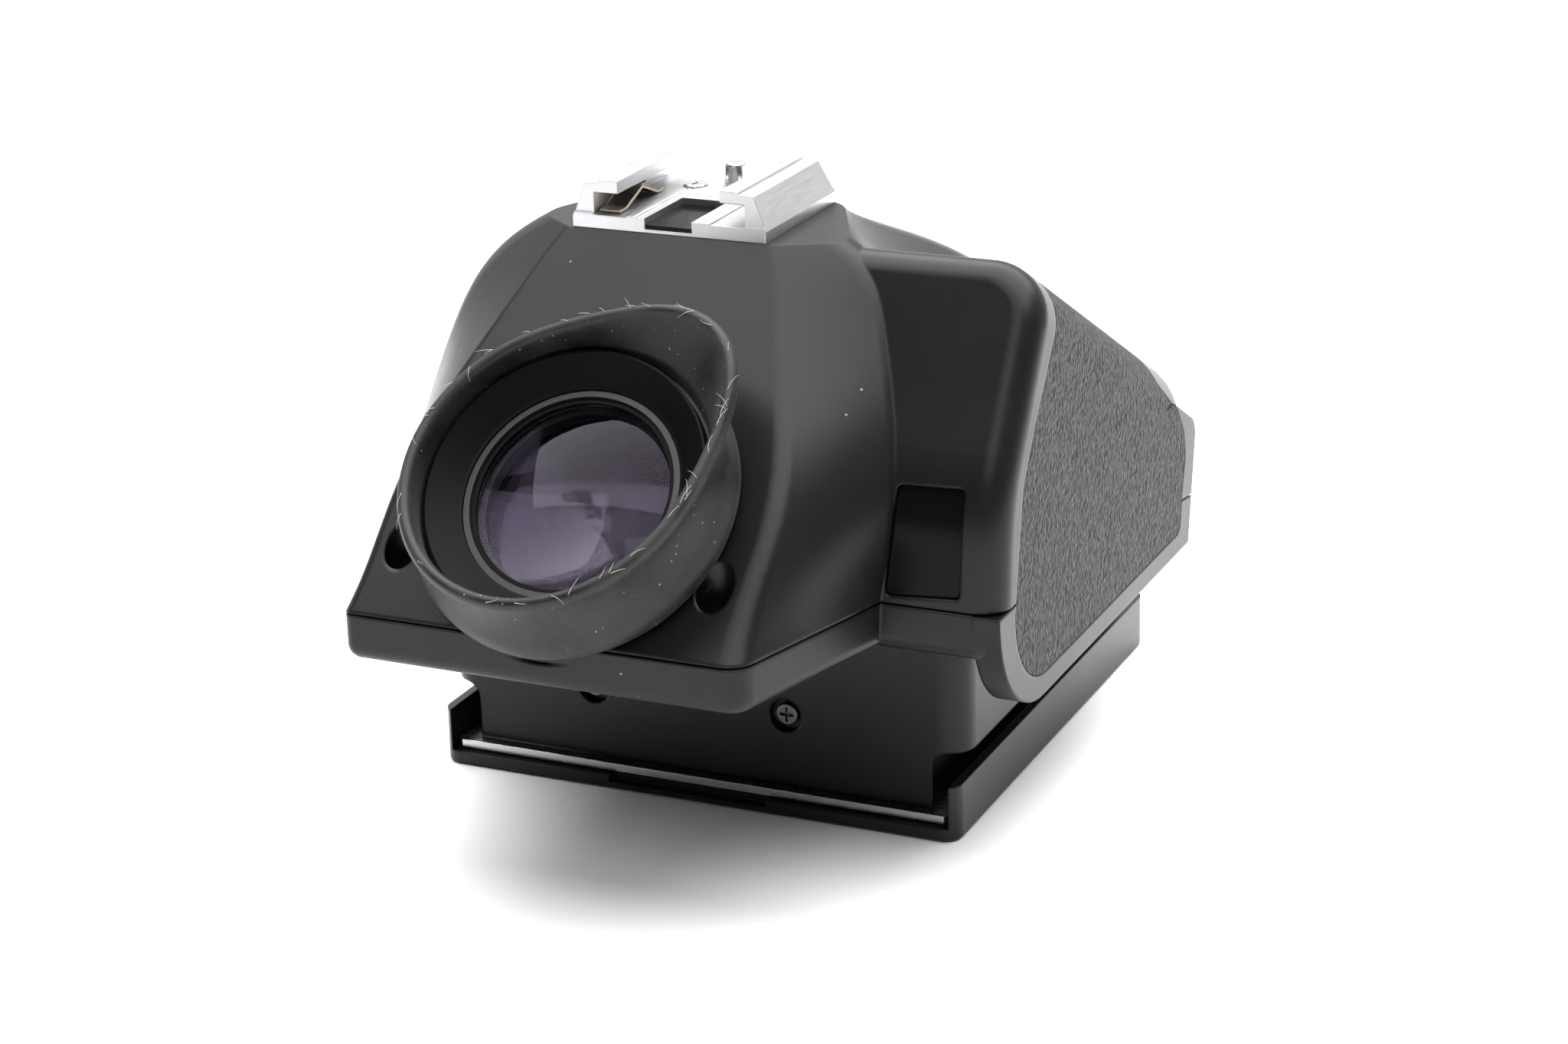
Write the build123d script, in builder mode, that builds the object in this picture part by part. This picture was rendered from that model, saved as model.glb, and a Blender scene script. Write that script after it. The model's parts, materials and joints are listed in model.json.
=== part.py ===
from build123d import *

"""45 degree prism viewfinder for a medium format camera, sitting on its slide-on base cover.

Frame: +X is the user's right, +Y points forward, away from the eyepiece, and +Z is up.
The origin is the centre of the base cover's underside. All sizes are in millimetres.
"""

import os
from math import cos, radians, sin, tan

os.makedirs("parts", exist_ok=True)

# Base cover and the steel plate that slides into it
COVER_HALF_WIDTH = 33.5
COVER_HALF_LENGTH = 34.1
COVER_HEIGHT = 6.9
COVER_FLOOR = 1.7
COVER_WALL = 1.2
COVER_DRAFT = 0.25
PLATE_HALF_WIDTH = 32.2
PLATE_HALF_LENGTH = 33.0
PLATE_BOTTOM = 1.9
PLATE_TOP = 2.9

# Lower housing
BODY_HALF_WIDTH = 33.5
BODY_REAR = -31.4
BODY_FRONT = 30.0
NECK_HALF_WIDTH = 29.5
NECK_TOP = 9.9
WALL = 2.2
DECK_BOTTOM = 28.3
PARTING = 33.94
LEDGE_TOP = 24.0
PARTING_GAP = 0.25
PARTING_BEND = -41.0
PARTING_FRONT = 26.0

# Face and eyepiece axis
EYE_TILT = 44.4
CHIN_REAR = -70.2
EYE_ON_FACE = 16.1
FRONT = 21.0

# Right wing
WING_OUT = 43.6
WING_REAR = -47.0
WING_BEND = (-45.7, 46.2)
WING_PEAK = (-31.3, 69.6)
WING_FRONT = 24.3
WING_START = 12.0
WING_ROOF_ROUND = 7.2
WING_REAR_ROUND = 3.2
ROOF_SLOPE = 0.535
SKIRT_BOTTOM = 19.9
SKIRT_WALL = 3.2
SKIRT_CORNER = 14.0
CHEEK_FRONT = (22.4, 35.0)
CHEEK_TOP = 39.9
LEATHER = 0.6
LEATHER_GAP = 0.12
LEATHER_CORNER = (-32.2, 32.4)
LEATHER_BEND = 10.0

# Accessory shoe
SHOE_SEAT = 69.5
SHOE_REAR = -35.3
SHOE_LENGTH = 19.6
SHOE_HALF = 11.85
SHOE_FLOOR = 1.7
SHOE_SLOT_TOP = 4.1
SHOE_HEIGHT = 5.5
SHOE_CHANNEL = 18.6
SHOE_LIP_GAP = 12.6
SHOE_LIP_FRONT = -17.2
SHOE_POCKET = 0.4
PIN_SPOT = (0.0, -17.2)
PIN_RADIUS = 1.28
SHOE_SCREW_X = 3.9
SHOE_SCREW_Y = -19.9

# Eyepiece radii, and where its parts lie along the eyepiece axis
BARREL_RADIUS = 17.0
RING_BORE = 12.45
RING_BODY = 14.15
CELL_RADIUS = 12.4
LENS_RADIUS = 11.6
RIM_RADIUS = 16.1
EYECUP_BASE = 18.8
EYECUP_RIM = 17.8
EYECUP_CORNER = 5.9
EYECUP_BEARING = radians(51)
EYECUP_HEIGHT = 10.3
EYECUP_TILT = (-5.0, -4.2, 0.0)

# Small fasteners
HEAD_RADIUS = 1.4
SHANK_RADIUS = 0.8
BORE_RADIUS = 2.06
FACE_SCREW_SEAT = 35.4
REAR_SCREWS = [(-13.9, 11.7), (11.1, 11.7)]
FACE_SCREWS = [(-19.3, -64.0), (18.2, -64.0)]
PLATE_SCREWS = [(-20.0, -29.7), (20.0, -29.7), (-20.0, 28.2), (20.0, 28.2)]

# Prism and its carrier
FRAME_BOTTOM = 30.3
FRAME_TOP = 31.3
PRISM_BASE = 31.8
PRISM_TOP = 62.5
PRISM_HALF = 27.0
PRISM_FRONT = 17.0
PRISM_EXIT_REAR = -55.5
RIDGE_SLOPE = 0.42
RIDGE_AT_ZERO = 57.5
STRAP_Y = -16.0
STRAP_FOOT = 30.2
FRAME_SCREWS = [(-22.6, -48.0), (22.6, -48.0)]

# The left ridge is crisper than the right one
LEFT_RIDGE = 0.4

# Height, face ridge x, ridge radius, right knee, left knee, front half-width and front y
STATIONS = [
    (PARTING, 23.6, 3.0, (29.6, -47.0), (-30.3, -43.4), 41.0, FRONT),
    (43.4, 22.8, 2.8, (30.9, -46.0), (-30.3, -41.0), 34.0, FRONT),
    (51.6, 21.2, 2.5, (30.2, -42.2), (-29.0, -38.0), 22.5, FRONT - 2.5),
    (59.7, 17.6, 2.0, (27.9, -36.9), (-27.2, -35.0), 18.0, 6.0),
    (65.5, 14.8, 1.6, (25.6, -33.4), (-24.4, -32.0), 14.0, -7.0),
    (SHOE_SEAT, 12.5, 1.2, (20.5, -31.6), (-18.5, -31.0), 12.6, -15.0),
]

FACE_SLOPE = tan(radians(EYE_TILT))
FACE_WALL = WALL * cos(radians(EYE_TILT))

# The eyepiece plane: local z runs outwards along the eyepiece axis, from the face
EYE_CENTRE = (
    0.0,
    CHIN_REAR + EYE_ON_FACE * sin(radians(EYE_TILT)),
    PARTING + EYE_ON_FACE * cos(radians(EYE_TILT)),
)
EYE_AXIS = (0.0, -cos(radians(EYE_TILT)), sin(radians(EYE_TILT)))
EYE_PLANE = Plane(origin=EYE_CENTRE, x_dir=(1, 0, 0), z_dir=EYE_AXIS)
# A half-section plane through that axis: local x is the radius and local y runs along the axis
EYE_SECTION = Plane(origin=EYE_CENTRE, x_dir=(1, 0, 0), z_dir=tuple(EYE_PLANE.y_dir * -1))
EYE_LINE = Axis(EYE_CENTRE, EYE_AXIS)


def export(part, name):
    """Label a finished piece and write its STEP file."""
    part.label = name
    export_step(part, f"parts/{name}.step")


def face_y(z):
    """Rearmost y of the sloped face at height z."""
    return CHIN_REAR + (z - PARTING) * FACE_SLOPE


def station_outline(station, inset, height):
    """Plan outline of the tapered housing at one station, moved in by a wall."""
    z, ridge, ridge_radius, right_knee, left_knee, front_half, front = station
    corners = [
        ((ridge, face_y(z)), ridge_radius),
        (right_knee, 3.0),
        ((front_half, front), 5.0),
        ((-front_half, front), 5.0),
        (left_knee, 5.0),
        ((-ridge, face_y(z)), ridge_radius * LEFT_RIDGE),
    ]
    with BuildSketch(Plane.XY.offset(height)) as outline:
        with BuildLine():
            Polyline([point for point, _ in corners], close=True)
        make_face()
        if inset:
            offset(amount=-inset, kind=Kind.INTERSECTION)
        for point, radius in corners:
            nearest = outline.vertices().sort_by_distance((*point, 0))[0]
            fillet(nearest, max(radius - inset, 0.5))
    return outline.sketch


def tapered_housing(inset, drop):
    """The tapered central housing, with its walls moved in and its top lowered."""
    heights = [station[0] for station in STATIONS[:-1]] + [SHOE_SEAT - drop]
    outlines = [station_outline(station, inset, z) for station, z in zip(STATIONS, heights)]
    with BuildPart() as housing:
        loft(outlines)
    return housing.part


def side_prism(points, start, length, rounds=()):
    """A profile drawn in Y and Z, extruded along X from start."""
    with BuildPart() as prism_part:
        with BuildSketch(Plane.YZ.offset(start)) as profile:
            with BuildLine():
                Polyline(points, close=True)
            make_face()
            for point, radius in rounds:
                nearest = profile.vertices().sort_by_distance((*point, 0))[0]
                fillet(nearest, radius)
        extrude(amount=length)
    return prism_part.part


def wing(inset):
    """The right wing, with its side, roof, rear and front moved in."""
    front = WING_FRONT - inset
    front_top = (front, WING_PEAK[1] - inset * 1.13 - ROOF_SLOPE * (front - WING_PEAK[0]))
    peak = (WING_PEAK[0] + inset * 1.2, WING_PEAK[1] - inset * 1.75)
    bottom = (WING_REAR + inset, DECK_BOTTOM + inset)
    bend = (WING_BEND[0] + inset * 1.05, WING_BEND[1])
    points = [bottom, bend, peak, front_top, (FRONT - 0.3 - inset, DECK_BOTTOM + inset)]
    rounds = [(bottom, 1.8), (bend, 22.0), (front_top, 11.0 - inset * 1.6)]
    body = side_prism(points, WING_START, WING_OUT - inset - WING_START, rounds)
    side_edges = body.edges().filter_by(lambda edge: edge.center().X > WING_OUT - inset - 0.01)
    upper = side_edges.filter_by(lambda edge: edge.center().Y > peak[0] and edge.center().Z > bottom[1] + 0.5)
    body = body.fillet(WING_ROOF_ROUND - inset, upper)
    outer = body.edges().filter_by(lambda edge: edge.center().X > WING_START + 1)
    crest = outer.filter_by(lambda edge: abs(edge.center().Y - peak[0]) < 0.5)
    rear = outer.filter_by(lambda edge: edge.center().Y < peak[0] + 2 and edge.center().Z > bottom[1] + 2)
    rear = rear.filter_by(lambda edge: abs(edge.tangent_at(0.5).X) < 0.99)
    chosen = ShapeList([*crest, *(edge for edge in rear if edge not in crest)])
    return body.fillet(max(WING_REAR_ROUND - inset, 0.8), chosen)


def block(x_range, y_range, z_range):
    """A plain box given its ranges."""
    ranges = (x_range, y_range, z_range)
    centre = [sum(span) / 2 for span in ranges]
    size = [span[1] - span[0] for span in ranges]
    return Pos(*centre) * Box(*size, mode=Mode.PRIVATE)


def upright(spot, radius, bottom, top):
    """A vertical cylinder at a plan position."""
    return Pos(spot[0], spot[1], (bottom + top) / 2) * Cylinder(radius, top - bottom, mode=Mode.PRIVATE)


def across(spot, radius, rear, front):
    """A cylinder along Y at an X and Z position."""
    lying = Cylinder(radius, front - rear, rotation=(90, 0, 0), mode=Mode.PRIVATE)
    return Pos(spot[0], (rear + front) / 2, spot[1]) * lying


def deck_slab(inset, bottom, top):
    """The plan outline of the housing at the parting, as a plate."""
    outline = station_outline(STATIONS[0], inset, bottom)
    with BuildPart() as plate:
        extrude(outline, amount=top - bottom)
    return plate.part


def ring(points):
    """A half-section of radius and distance along the eyepiece axis, revolved."""
    with BuildPart() as turned:
        with BuildSketch(EYE_SECTION):
            with BuildLine():
                Polyline(points, close=True)
            make_face()
        revolve(axis=EYE_LINE)
    return turned.part


def lower_outside():
    """Outer shape of the body box, its neck and the deck above them."""
    with BuildPart() as box:
        with BuildSketch(Plane.XZ.offset(-BODY_FRONT)) as section:
            with BuildLine():
                Polyline(
                    (-NECK_HALF_WIDTH, PLATE_TOP),
                    (NECK_HALF_WIDTH, PLATE_TOP),
                    (NECK_HALF_WIDTH, NECK_TOP),
                    (BODY_HALF_WIDTH, NECK_TOP),
                    (BODY_HALF_WIDTH, DECK_BOTTOM + 1),
                    (-BODY_HALF_WIDTH, DECK_BOTTOM + 1),
                    (-BODY_HALF_WIDTH, NECK_TOP),
                    (-NECK_HALF_WIDTH, NECK_TOP),
                    close=True,
                )
            make_face()
            for side in (1, -1):
                corner = (side * NECK_HALF_WIDTH, NECK_TOP, 0)
                fillet(section.vertices().sort_by_distance(corner)[0], 1.8)
        extrude(amount=BODY_FRONT - BODY_REAR)
        with BuildSketch(Plane.XY) as plan:
            with Locations((0, (BODY_FRONT + BODY_REAR) / 2)):
                RectangleRounded(2 * BODY_HALF_WIDTH, BODY_FRONT - BODY_REAR, 3.6)
        extrude(amount=PARTING, mode=Mode.INTERSECT)
    ledge = block((-40, 40), (FRONT - 1.5, BODY_FRONT + 1), (LEDGE_TOP, PARTING))
    deck = deck_slab(0, DECK_BOTTOM, PARTING)
    deck = fillet(deck.faces().sort_by(Axis.Z)[0].outer_wire().edges(), 1.8)
    return box.part - ledge + deck


def skirts():
    """The walls that hang below the deck on both sides, the right one with a cheek at its front."""
    rear_edge = (WING_REAR, SKIRT_BOTTOM)
    points = [
        (WING_REAR, PARTING),
        rear_edge,
        (20.0, SKIRT_BOTTOM),
        CHEEK_FRONT,
        (13.5, CHEEK_TOP),
        (8.0, CHEEK_TOP),
        (8.0, PARTING),
    ]
    rounds = [(rear_edge, SKIRT_CORNER - 0.1), (CHEEK_FRONT, 3.0)]
    right = side_prism(points, WING_OUT - SKIRT_WALL, SKIRT_WALL, rounds)
    outer = deck_slab(0, SKIRT_BOTTOM, DECK_BOTTOM + 0.5)
    inner = deck_slab(SKIRT_WALL, SKIRT_BOTTOM - 1, DECK_BOTTOM + 1)
    limits = block((-45, -BODY_HALF_WIDTH + 1), (-20, FRONT - 1.6), (SKIRT_BOTTOM, DECK_BOTTOM + 0.5))
    return right + ((outer - inner) & limits)


def above_parting(gap):
    """Everything above the sloping joint between the two shells."""
    slope = (PARTING_FRONT - PARTING) / (FRONT - PARTING_BEND)
    far = 60.0
    points = [
        (-90.0, PARTING - gap),
        (PARTING_BEND, PARTING - gap),
        (far, PARTING - gap + slope * (far - PARTING_BEND)),
        (far, 120.0),
        (-90.0, 120.0),
    ]
    return side_prism(points, -60.0, 120.0)


def rear_panel(x_shift):
    """The tall opening in the wing's rear wall, as a prism along Y."""
    points = [
        (30.0 + x_shift, 34.6 + x_shift),
        (38.8 - x_shift, 35.2 + x_shift),
        (38.9 - x_shift, 47.3 - x_shift),
        (31.1 + x_shift, 47.0 - x_shift),
    ]
    with BuildPart() as panel:
        with BuildSketch(Plane.XZ.offset(30)) as outline:
            with BuildLine():
                Polyline(points, close=True)
            make_face()
            fillet(outline.vertices(), 0.7)
        extrude(amount=30)
    return panel.part


def right_region(shrink):
    """The side view of the right leather panel, as a prism along X."""
    middle_y, middle_z = LEATHER_CORNER
    low = middle_z - LEATHER_BEND
    rear = middle_y - LEATHER_BEND
    bend = LEATHER_BEND * cos(radians(45))
    with BuildPart() as region:
        with BuildSketch(Plane.YZ.offset(36.3 + shrink)) as outline:
            with BuildLine():
                ThreePointArc((rear, middle_z), (middle_y - bend, middle_z - bend), (middle_y, low))
                Polyline((middle_y, low), (16.4, low), (16.9, 27.0), (18.1, 31.8), (17.3, 35.2), (14.6, 38.8))
                Polyline((14.6, 38.8), (9.0, 43.6), (3.0, 62.0), (-24.0, 70.0), (-30.0, 60.6), (-36.2, 52.1))
                Polyline((-36.2, 52.1), (-39.7, 46.3))
                Polyline((-39.7, 46.3), (rear, middle_z))
            make_face()
            if shrink:
                offset(amount=-shrink, kind=Kind.INTERSECTION)
            front = outline.vertices().filter_by(lambda v: v.X > 10 and v.Y < 48)
            fillet(front, 1.5)
        extrude(amount=10)
    return region.part


def left_region(shrink):
    """The side view of the left leather panel, as a prism along X."""
    points = [(-33.0, 35.2), (17.0, 35.2), (15.0, 47.0), (6.0, 55.0), (-12.0, 62.5), (-22.0, 62.5), (-31.0, 47.0)]
    with BuildPart() as region:
        with BuildSketch(Plane.YZ.offset(-60)) as outline:
            with BuildLine():
                Polyline(points, close=True)
            make_face()
            if shrink:
                offset(amount=-shrink, kind=Kind.INTERSECTION)
            fillet(outline.vertices(), 3.0)
        extrude(amount=54)
    return region.part


housing_outside = tapered_housing(0, 0)
wing_outside = wing(0)
outside = lower_outside() + skirts() + housing_outside + wing_outside

# Everything hollow inside the two shells
hollow = tapered_housing(WALL, WALL) + wing(WALL) + deck_slab(WALL + 0.1, FRAME_BOTTOM, PARTING + 0.5)
hollow = hollow + block((-27.5, 27.5), (-28, 27), (0, 14))
hollow = hollow + block((-31, 31), (-29, 27), (12.5, 23.0))
hollow = hollow + block((-31, 31), (-29, 18), (12.5, 26.0))
hollow = hollow + block((-25, 25), (-26, 14), (20, 32))

bosses = upright(FACE_SCREWS[0], 3.4, 29, 50) + upright(FACE_SCREWS[1], 3.4, 29, 50)
shell = outside - hollow + (bosses & outside)

# Openings in the face, the rear wall and the roof
for spot in FACE_SCREWS:
    shell = shell - upright(spot, 2.1, FACE_SCREW_SEAT, 50) - upright(spot, 0.85, 30.0, 50)
for spot in REAR_SCREWS:
    shell = shell - across(spot, BORE_RADIUS, BODY_REAR - 1, BODY_REAR + 1.3)
    shell = shell - across(spot, 0.85, BODY_REAR, BODY_REAR + 3.1)
for x in (-SHOE_SCREW_X, SHOE_SCREW_X):
    shell = shell - upright((x, SHOE_SCREW_Y), 0.85, SHOE_SEAT - 3, SHOE_SEAT + 1)
for spot in PLATE_SCREWS:
    shell = shell - upright(spot, 0.85, 0, 7.0)
for side in (1, -1):
    shell = shell - upright((side * STRAP_FOOT, STRAP_Y), 0.85, 26.8, 31)
    shell = shell - upright((side * FRAME_SCREWS[1][0], FRAME_SCREWS[1][1]), 0.85, 28.9, 31)
barrel_clearance = [(0, -7), (14.3, -7), (14.3, -3.3), (17.9, -3.3), (17.9, -1.6), (17.05, -1.6), (17.05, 8), (0, 8)]
shell = shell - ring(barrel_clearance)
panel_pocket = (rear_panel(0) & wing_outside) - wing(1.0)
right_skin = ((wing_outside + skirts()) & right_region(0)) - wing(LEATHER)
right_skin = right_skin - block((30, WING_OUT - LEATHER), (-60, 60), (0, 40))
left_skin = (housing_outside & left_region(0)) - tapered_housing(LEATHER, LEATHER)
shell = shell - panel_pocket - right_skin - left_skin

below_wing = block((30, WING_OUT - LEATHER), (-60, 60), (0, 40))
right_skin_shape = ((wing_outside + skirts()) & right_region(LEATHER_GAP)) - wing(LEATHER) - below_wing
left_skin_shape = (housing_outside & left_region(LEATHER_GAP)) - tapered_housing(LEATHER, LEATHER)

with BuildPart() as upper_shell:
    add(shell & above_parting(0))
export(upper_shell.part, "upper_shell")

with BuildPart() as lower_shell:
    add(shell - above_parting(PARTING_GAP))
export(lower_shell.part, "lower_shell")

with BuildPart() as leather_right:
    add(right_skin_shape)
export(leather_right.part, "leather_right")

with BuildPart() as leather_left:
    add(left_skin_shape)
export(leather_left.part, "leather_left")

with BuildPart() as wing_blank_plate:
    add((rear_panel(0.15) & wing(0.45)) - wing(1.0))
export(wing_blank_plate.part, "wing_blank_plate")


def cross_head(top_radius, head_bottom, head_top, shank_radius, shank_end):
    """A screw standing along Z, with a cross recess in its head."""
    with BuildPart() as screw:
        with Locations((0, 0, head_bottom)):
            Cylinder(top_radius, head_top - head_bottom, align=(Align.CENTER, Align.CENTER, Align.MIN))
        fillet(screw.edges().sort_by(Axis.Z)[-1], 0.25)
        with Locations((0, 0, shank_end)):
            Cylinder(shank_radius, head_bottom - shank_end, align=(Align.CENTER, Align.CENTER, Align.MIN))
        with Locations((0, 0, head_top)):
            Box(top_radius * 1.25, 0.32, 1.0, mode=Mode.SUBTRACT)
            Box(0.32, top_radius * 1.25, 1.0, mode=Mode.SUBTRACT)
    return screw.part


with BuildPart() as face_screws:
    head = cross_head(1.7, FACE_SCREW_SEAT, FACE_SCREW_SEAT + 1.3, SHANK_RADIUS, 30.2)
    for spot in FACE_SCREWS:
        add(Pos(spot[0], spot[1], 0) * head)
export(face_screws.part, "face_screws")

with BuildPart() as rear_wall_screws:
    wall_screw = cross_head(HEAD_RADIUS, 0, 0.9, SHANK_RADIUS, -1.6)
    for spot in REAR_SCREWS:
        add(Pos(spot[0], BODY_REAR + 1.3, spot[1]) * Rot(90, 0, 0) * wall_screw)
export(rear_wall_screws.part, "rear_wall_screws")

with BuildPart() as finder_plate:
    with BuildSketch(Plane.XY.offset(PLATE_BOTTOM)):
        Rectangle(2 * PLATE_HALF_WIDTH, 2 * PLATE_HALF_LENGTH)
        Rectangle(51, 51, mode=Mode.SUBTRACT)
        with Locations(PLATE_SCREWS):
            Circle(0.85, mode=Mode.SUBTRACT)
    extrude(amount=PLATE_TOP - PLATE_BOTTOM)
    with BuildSketch(Plane.XY.offset(PLATE_BOTTOM)):
        with Locations(PLATE_SCREWS):
            Circle(1.65)
    extrude(amount=0.6, mode=Mode.SUBTRACT)
    chamfer(finder_plate.edges().filter_by(Axis.Z).group_by(SortBy.DISTANCE)[-1], 0.8)
export(finder_plate.part, "finder_plate")

with BuildPart() as plate_screws:
    plate_screw = Rot(180, 0, 0) * cross_head(1.6, -2.5, -1.9, SHANK_RADIUS, -6.6)
    for spot in PLATE_SCREWS:
        add(Pos(spot[0], spot[1], 0) * plate_screw)
export(plate_screws.part, "plate_screws")

# Accessory shoe on its seat
SHOE_TOP = SHOE_SEAT + SHOE_HEIGHT
FLOOR_TOP = SHOE_SEAT + SHOE_FLOOR

# Half of the shoe's section, from the middle of its underside round to the middle of its floor
SHOE_SECTION = [
    (0.0, SHOE_SEAT),
    (SHOE_HALF, SHOE_SEAT),
    (SHOE_HALF, SHOE_SEAT + 1.3),
    (10.4, SHOE_TOP - 0.4),
    (8.6, SHOE_TOP - 0.3),
    (8.55, SHOE_TOP),
    (SHOE_LIP_GAP / 2, SHOE_TOP),
    (SHOE_LIP_GAP / 2, SHOE_SEAT + SHOE_SLOT_TOP),
    (SHOE_CHANNEL / 2, SHOE_SEAT + SHOE_SLOT_TOP),
    (SHOE_CHANNEL / 2, FLOOR_TOP - 0.15),
    (5.2, FLOOR_TOP - 0.15),
    (5.1, FLOOR_TOP),
    (4.35, FLOOR_TOP),
    (4.2, FLOOR_TOP - 0.15),
    (4.05, FLOOR_TOP),
    (3.65, FLOOR_TOP),
    (3.5, FLOOR_TOP - 0.15),
    (3.35, FLOOR_TOP),
    (0.0, FLOOR_TOP),
]
shoe_front = SHOE_REAR + SHOE_LENGTH
rail_end = [
    (SHOE_LIP_FRONT, SHOE_TOP + 1),
    (SHOE_LIP_FRONT, SHOE_TOP),
    (shoe_front - 0.2, SHOE_SEAT + 1.6),
    (shoe_front + 1, SHOE_SEAT + 1.6),
    (shoe_front + 1, SHOE_TOP + 1),
]

with BuildPart() as accessory_shoe:
    with BuildSketch(Plane.XZ.offset(-shoe_front)) as profile:
        with BuildLine():
            Polyline(SHOE_SECTION, close=True)
        make_face()
        mirror(about=Plane.YZ)
    extrude(amount=SHOE_LENGTH)
    with Locations((0, SHOE_REAR, SHOE_TOP)):
        Box(40, 0.6, 2 * (SHOE_HEIGHT - SHOE_FLOOR), mode=Mode.SUBTRACT)
    add(side_prism(rail_end, -20, 40), mode=Mode.SUBTRACT)
    add(block((-2.9, 2.9), (SHOE_REAR - 1, -25.4), (SHOE_SEAT + SHOE_POCKET, 80)), mode=Mode.SUBTRACT)
    add(block((-12, -9.2), (-26.2, -21.9), (FLOOR_TOP + 0.4, FLOOR_TOP + 2.2)), mode=Mode.SUBTRACT)
    with Locations((-SHOE_SCREW_X, SHOE_SCREW_Y, SHOE_SEAT), (SHOE_SCREW_X, SHOE_SCREW_Y, SHOE_SEAT)):
        Cylinder(0.85, 8, mode=Mode.SUBTRACT)
    with Locations((-SHOE_SCREW_X, SHOE_SCREW_Y, FLOOR_TOP), (SHOE_SCREW_X, SHOE_SCREW_Y, FLOOR_TOP)):
        Cylinder(HEAD_RADIUS + 0.06, 1.0, mode=Mode.SUBTRACT)
export(accessory_shoe.part, "accessory_shoe")

with BuildPart() as shoe_stop_pin:
    with Locations((*PIN_SPOT, FLOOR_TOP)):
        Cylinder(PIN_RADIUS, 2.5, align=(Align.CENTER, Align.CENTER, Align.MIN))
    fillet(shoe_stop_pin.edges().sort_by(Axis.Z)[-1], 0.4)
export(shoe_stop_pin.part, "shoe_stop_pin")

with BuildPart() as shoe_screws:
    shoe_screw = cross_head(HEAD_RADIUS, FLOOR_TOP - 0.5, FLOOR_TOP + 0.3, SHANK_RADIUS, SHOE_SEAT - 2.6)
    for x in (-SHOE_SCREW_X, SHOE_SCREW_X):
        add(Pos(x, SHOE_SCREW_Y, 0) * shoe_screw)
export(shoe_screws.part, "shoe_screws")

with BuildPart() as shoe_insert:
    add(block((-2.85, 2.85), (SHOE_REAR + 0.1, -25.5), (SHOE_SEAT + SHOE_POCKET, SHOE_SEAT + SHOE_POCKET + 0.5)))
export(shoe_insert.part, "shoe_insert")

with BuildPart() as shoe_leaf_spring:
    with BuildSketch(Plane.YZ.offset(-9.1)):
        with BuildLine():
            Polyline(
                (SHOE_REAR + 1.2, FLOOR_TOP),
                (SHOE_REAR + 3.0, FLOOR_TOP),
                (SHOE_REAR + 7.2, FLOOR_TOP + 1.5),
                (SHOE_REAR + 11.0, FLOOR_TOP),
                (SHOE_REAR + 12.6, FLOOR_TOP),
                (SHOE_REAR + 12.6, FLOOR_TOP + 0.25),
                (SHOE_REAR + 11.1, FLOOR_TOP + 0.25),
                (SHOE_REAR + 7.2, FLOOR_TOP + 1.8),
                (SHOE_REAR + 2.9, FLOOR_TOP + 0.25),
                (SHOE_REAR + 1.2, FLOOR_TOP + 0.25),
                close=True,
            )
        make_face()
    extrude(amount=2.6)
export(shoe_leaf_spring.part, "shoe_leaf_spring")

# Eyepiece, from the outside inwards
with BuildPart() as eyepiece_barrel:
    add(
        ring(
            [
                (RING_BODY + 0.05, -1.6),
                (RING_BODY + 0.05, 3.5),
                (BARREL_RADIUS, 3.5),
                (BARREL_RADIUS, -1.62),
                (17.7, -1.62),
                (17.7, -3.1),
                (14.0, -3.1),
                (14.0, -6.4),
                (RING_BORE, -6.4),
                (RING_BORE, -1.6),
            ]
        )
    )
export(eyepiece_barrel.part, "eyepiece_barrel")

with BuildPart() as dioptre_ring:
    add(
        ring(
            [
                (RING_BORE, -1.3),
                (RING_BODY, -1.3),
                (RING_BODY, 3.65),
                (RIM_RADIUS, 3.65),
                (RIM_RADIUS, 5.3),
                (15.8, 5.35),
                (12.8, 3.2),
                (RING_BORE, 3.1),
            ]
        )
    )
export(dioptre_ring.part, "dioptre_ring")

with BuildPart() as lens_cell:
    add(ring([(CELL_RADIUS, -6.0), (CELL_RADIUS, 2.9), (LENS_RADIUS + 0.1, 2.9), (LENS_RADIUS + 0.1, -6.0)]))
export(lens_cell.part, "lens_cell")


def bulge_point(vertex, radius):
    """A point part of the way out along a lens face, from its vertex."""
    reach = LENS_RADIUS / 2
    drop = abs(radius) - (radius**2 - reach**2) ** 0.5
    return (reach, vertex - drop if radius > 0 else vertex + drop)


def lens(front, rear, front_radius, rear_radius):
    """A lens between two spherical faces, on the eyepiece axis."""
    front_edge = front - front_radius + (front_radius**2 - LENS_RADIUS**2) ** 0.5
    rear_edge = rear + rear_radius - (rear_radius**2 - LENS_RADIUS**2) ** 0.5
    with BuildPart() as body:
        with BuildSketch(EYE_SECTION):
            with BuildLine():
                ThreePointArc((0, front), bulge_point(front, front_radius), (LENS_RADIUS, front_edge))
                Line((LENS_RADIUS, front_edge), (LENS_RADIUS, rear_edge))
                ThreePointArc((LENS_RADIUS, rear_edge), bulge_point(rear, -rear_radius), (0, rear))
                Line((0, rear), (0, front))
            make_face()
        revolve(axis=EYE_LINE)
    return body.part


with BuildPart() as eye_lens:
    add(lens(2.6, -0.6, 46.0, 90.0))
export(eye_lens.part, "eye_lens")

with BuildPart() as inner_lens:
    add(lens(-2.0, -5.0, 80.0, 60.0))
export(inner_lens.part, "inner_lens")

with BuildPart() as lens_retainer:
    add(ring([(LENS_RADIUS + 0.1, 1.3), (LENS_RADIUS + 0.1, 2.5), (11.1, 2.5), (11.1, 2.1), (11.5, 1.3)]))
export(lens_retainer.part, "lens_retainer")

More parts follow.
